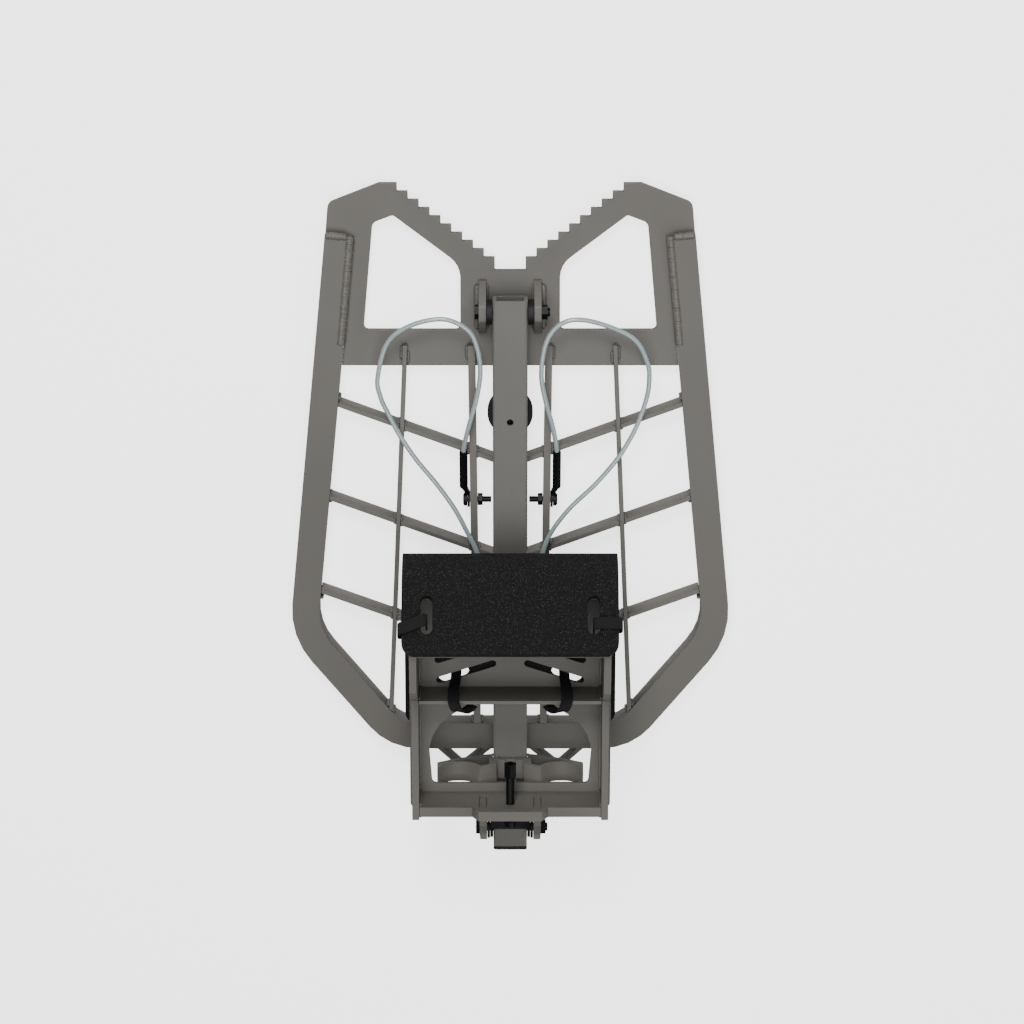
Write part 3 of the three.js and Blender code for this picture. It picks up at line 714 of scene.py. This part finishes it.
class STAND_OT_metalwork(bpy.types.Operator):
    """Eases the edges of the painted metal and coats it."""

    bl_idname = "stand.metalwork"
    bl_label = "Painted metal"

    NODES = {
        "platform": (
            "frame_bow", "v_plate", "rib_upper", "rib_middle", "rib_lower", "outer_bar_left",
            "outer_bar_right", "inner_bar_left", "inner_bar_right",
            "front_bar_left", "front_bar_right", "hinge_ear_left",
            "hinge_ear_right",
        ),
        "post": ("post_tube", "tree_bracket"),
        "seat": (
            "seat_pan", "seat_side_left", "seat_side_right", "seat_cross_rib", "seat_rear_plate",
            "pivot_ear_left", "pivot_ear_right",
        ),
    }

    def execute(self, context):
        colours = context.scene.stand_colours
        edge = context.scene.stand_sizes.edge / MM
        coat = powder_coat("paint_finish", tuple(colours.paint))
        post_coat = powder_coat("post_paint_finish", tuple(colours.post))
        bead = weld_coat("weld_paint_painted_highlight", tuple(colours.paint))
        for body, nodes in self.NODES.items():
            for node in nodes:
                finish = post_coat if node == "post_tube" else coat
                width = 2.2 if node == "frame_bow" else edge
                piece = softened(node, finish, width, 3 if node == "frame_bow" else 2)
                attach(piece, body)
        welds("platform_welds", platform_runs(), bead, "platform", 4)
        welds("seat_welds", seat_runs(), bead, "seat", 7)
        welds("post_welds", post_runs(), bead, "post", 9)
        return {"FINISHED"}


class STAND_OT_hardware(bpy.types.Operator):
    """Finishes the blackened bolts, nuts and cable ends, and cuts their threads."""

    bl_idname = "stand.hardware"
    bl_label = "Hardware"

    NODES = {
        "platform": (
            "hinge_bolt", "hinge_nut", "lower_terminal_left", "lower_terminal_right", "cable_bolt_left",
            "cable_bolt_right", "cable_nut_left", "cable_nut_right",
        ),
        "post": ("upper_terminal_left", "upper_terminal_right", "anchor_bolt", "anchor_nut"),
        "seat": ("pivot_bolt", "pivot_nut", "levelling_nut"),
        "levelling_bolt": ("levelling_bolt",),
    }

    def execute(self, context):
        steel = black_oxide("black_hardware_finish", tuple(context.scene.stand_colours.hardware))
        for body, nodes in self.NODES.items():
            for node in nodes:
                piece = softened(node, steel, 0.45)
                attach(piece, body)
        for side, sign in (("left", -1), ("right", 1)):
            ends = sorted((sign * 30.5, sign * 21.2))
            thread(f"cable_bolt_thread_{side}", "X", (23.6, 13.4), 3.2, *ends, steel, "platform")
        thread("hinge_bolt_thread", "X", (246.6, 39.4), 4.7, 40.7, 43.2, steel, "platform")
        thread("pivot_bolt_thread", "X", (-361.2, 39.4), 4.7, 40.5, 42.2, steel, "seat")
        thread("levelling_thread", "Y", (0, 122.1), 4.5, -316.5, -264.5, steel, "levelling_bolt")
        return {"FINISHED"}


class STAND_OT_mouldings(bpy.types.Operator):
    """Finishes the plastic and rubber parts."""

    bl_idname = "stand.mouldings"
    bl_label = "Plastic and rubber"

    NODES = {
        "post": ("post_cap", "hinge_bushing_left", "hinge_bushing_right", "pivot_saddle", "rubber_bumper"),
        "seat": ("pivot_washer_left", "pivot_washer_right"),
    }

    def execute(self, context):
        plastic = moulded("plastic_finish", (0.007, 0.007, 0.0075, 1))
        rubber = moulded("rubber_finish", (0.009, 0.009, 0.009, 1), 1400.0, 0.75)
        for body, nodes in self.NODES.items():
            for node in nodes:
                soft = node == "rubber_bumper"
                piece = softened(node, rubber if soft else plastic, 1.0 if soft else 0.5)
                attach(piece, body)
        return {"FINISHED"}


class STAND_OT_pad(bpy.types.Operator):
    """Makes the foam seat pad, which wraps the pan's rolled front edge."""

    bl_idname = "stand.pad"
    bl_label = "Seat pad"

    def execute(self, context):
        colour = tuple(context.scene.stand_colours.foam)
        foam = speckled_foam("foam_finish", colour, (0.09, 0.09, 0.09, 1))
        piece = softened("seat_pad", foam, 2.6, 4)
        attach(piece, "seat")
        return {"FINISHED"}


class STAND_OT_straps(bpy.types.Operator):
    """Threads the webbing ties through the pad and the pan."""

    bl_idname = "stand.straps"
    bl_label = "Straps"

    SIDE_TIE = (
        (-90, 37.5), (-90, 48.5), (-89.8, 57.5), (-91.5, 61.7), (-97, 62.8), (-104, 62.1), (-111, 61.7),
        (-116.5, 61.6), (-119.6, 59.5), (-120.2, 54.5), (-120.2, 46.5), (-119.2, 42),
        (-116.6, 39.9), (-113.6, 39.1),
    )
    PAN_TIE = (
        ((-60, 204, 36), (0.948, 0.318, 0)), ((-60, 204, 52), (0.948, 0.318, 0)),
        ((-61, 202.5, 68), (0.97, 0.2, 0)), ((-62.5, 198, 86), (1, 0, 0)), ((-62, 191, 99), (1, 0, 0)),
        ((-58, 184, 102), (0.95, 0, 0.25)), ((-52, 179, 96), (0.8, 0, 0.6)),
        ((-46, 178.5, 87), (0.65, -0.2, 0.7)),
        ((-41, 181, 81), (0.6, -0.2, 0.75)),
    )

    def execute(self, context):
        width, thick = context.scene.stand_sizes.strap, 0.0019
        web = woven("webbing_finish", (0.006, 0.006, 0.0065, 1), 2600.0, 90.0)
        for side, sign, slack, slant in (("left", 1, -27.8, 0.36), ("right", -1, -32.3, -0.02)):
            rise = smooth_line([(x, 0, z) for x, z in self.SIDE_TIE], 5)
            sag = [slack + slant * (p.x + 90) for p in rise]
            line = [apron_point(sign * p.x, y, p.z) for p, y in zip(rise, sag)]
            across = [Matrix.Rotation(APRON_TURN, 3, "X") @ Vector((0, sign, 0)) for _ in line]
            tie = ribbon(f"side_tie_{side}", line, across, width, thick, web)
            finish_strap(tie, f"side_strap_{side}")
            stations = smooth_line([p for p, _ in self.PAN_TIE], 6)
            lean = smooth_line([d for _, d in self.PAN_TIE], 6)
            line = [(SEAT_PIVOT + Vector((sign * p.x, p.y, p.z))) * MM for p in stations]
            across = [Vector((sign * d.x, d.y, d.z)) for d in lean]
            tie = ribbon(f"pan_tie_{side}", line, across, width - 0.001, thick, web)
            finish_strap(tie, f"pan_strap_{side}")
        return {"FINISHED"}


STEPS = (
    STAND_OT_camera,
    STAND_OT_cables,
    STAND_OT_stage,
    STAND_OT_metalwork,
    STAND_OT_hardware,
    STAND_OT_mouldings,
    STAND_OT_pad,
    STAND_OT_straps,
)


class STAND_PT_panel(bpy.types.Panel):
    """Lists the stand's sizes, colours and building steps."""

    bl_idname = "STAND_PT_panel"
    bl_label = "Tree Stand"
    bl_space_type = "VIEW_3D"
    bl_region_type = "UI"
    bl_category = "Tree Stand"

    def draw(self, context):
        for group in (context.scene.stand_sizes, context.scene.stand_colours):
            for name in group.__annotations__:
                self.layout.prop(group, name)
        for step in STEPS:
            self.layout.operator(step.bl_idname)


CLASSES = (StandColours, StandSizes, *STEPS, STAND_PT_panel)


def register():
    for cls in CLASSES:
        bpy.utils.register_class(cls)
    bpy.types.Scene.stand_colours = bpy.props.PointerProperty(type=StandColours)
    bpy.types.Scene.stand_sizes = bpy.props.PointerProperty(type=StandSizes)


def unregister():
    del bpy.types.Scene.stand_sizes
    del bpy.types.Scene.stand_colours
    for cls in reversed(CLASSES):
        bpy.utils.unregister_class(cls)


def main():
    register()
    for step in STEPS:
        group, name = step.bl_idname.split(".")
        getattr(getattr(bpy.ops, group), name)()
    bpy.context.view_layer.update()


if __name__ == "__main__":
    main()
